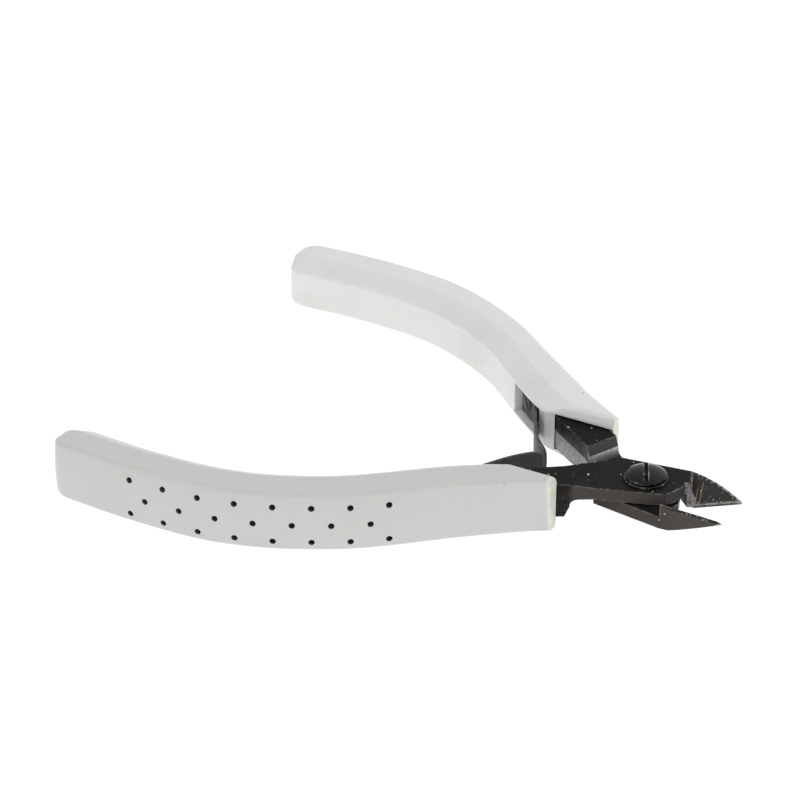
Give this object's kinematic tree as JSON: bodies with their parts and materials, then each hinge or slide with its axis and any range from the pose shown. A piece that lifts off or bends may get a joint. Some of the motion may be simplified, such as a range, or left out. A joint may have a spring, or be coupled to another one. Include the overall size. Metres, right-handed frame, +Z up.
{
  "type": "side cutters",
  "caption": "Electronics side cutters: lap-jointed black steel jaws on a slotted pivot screw, curved perforated white grips and leaf springs that hold the jaws open.",
  "frame": {"origin": "middle of the footprint of the open tool, on the plane that both grips lie on", "axes": "+X runs along the tool from the grips to the jaw tips, +Y from the front grip to the rear grip, +Z up along the pivot screw towards its head"},
  "size_m": [0.1082, 0.0888, 0.0108],
  "materials": {
    "blackened_steel": "blackened, worn bright on the edges",
    "grip_plastic": "satin, slightly soiled",
    "spring_steel": "dark satin",
    "fastener_steel": "gloss black"
  },
  "bodies": {
    "front_half": {"front_lever": "blackened_steel", "front_grip": "grip_plastic", "front_spring": "spring_steel", "front_spring_rivet": "fastener_steel"},
    "rear_half": {"rear_lever": "blackened_steel", "rear_grip": "grip_plastic", "rear_spring": "spring_steel", "rear_spring_rivet": "fastener_steel", "pivot_screw": "fastener_steel", "pivot_washer": "fastener_steel"}
  },
  "joints": [
    {"name": "pivot", "type": "hinge", "parent": "front_half", "child": "rear_half", "pos_m": [0.03794, 0, 0.0054], "axis": [0, 0, 1], "range_deg": [0, 26], "stiffness_Nm_per_rad": 0.6, "springref_deg": -28.65, "deforming": ["front_spring", "rear_spring"]}
  ]
}
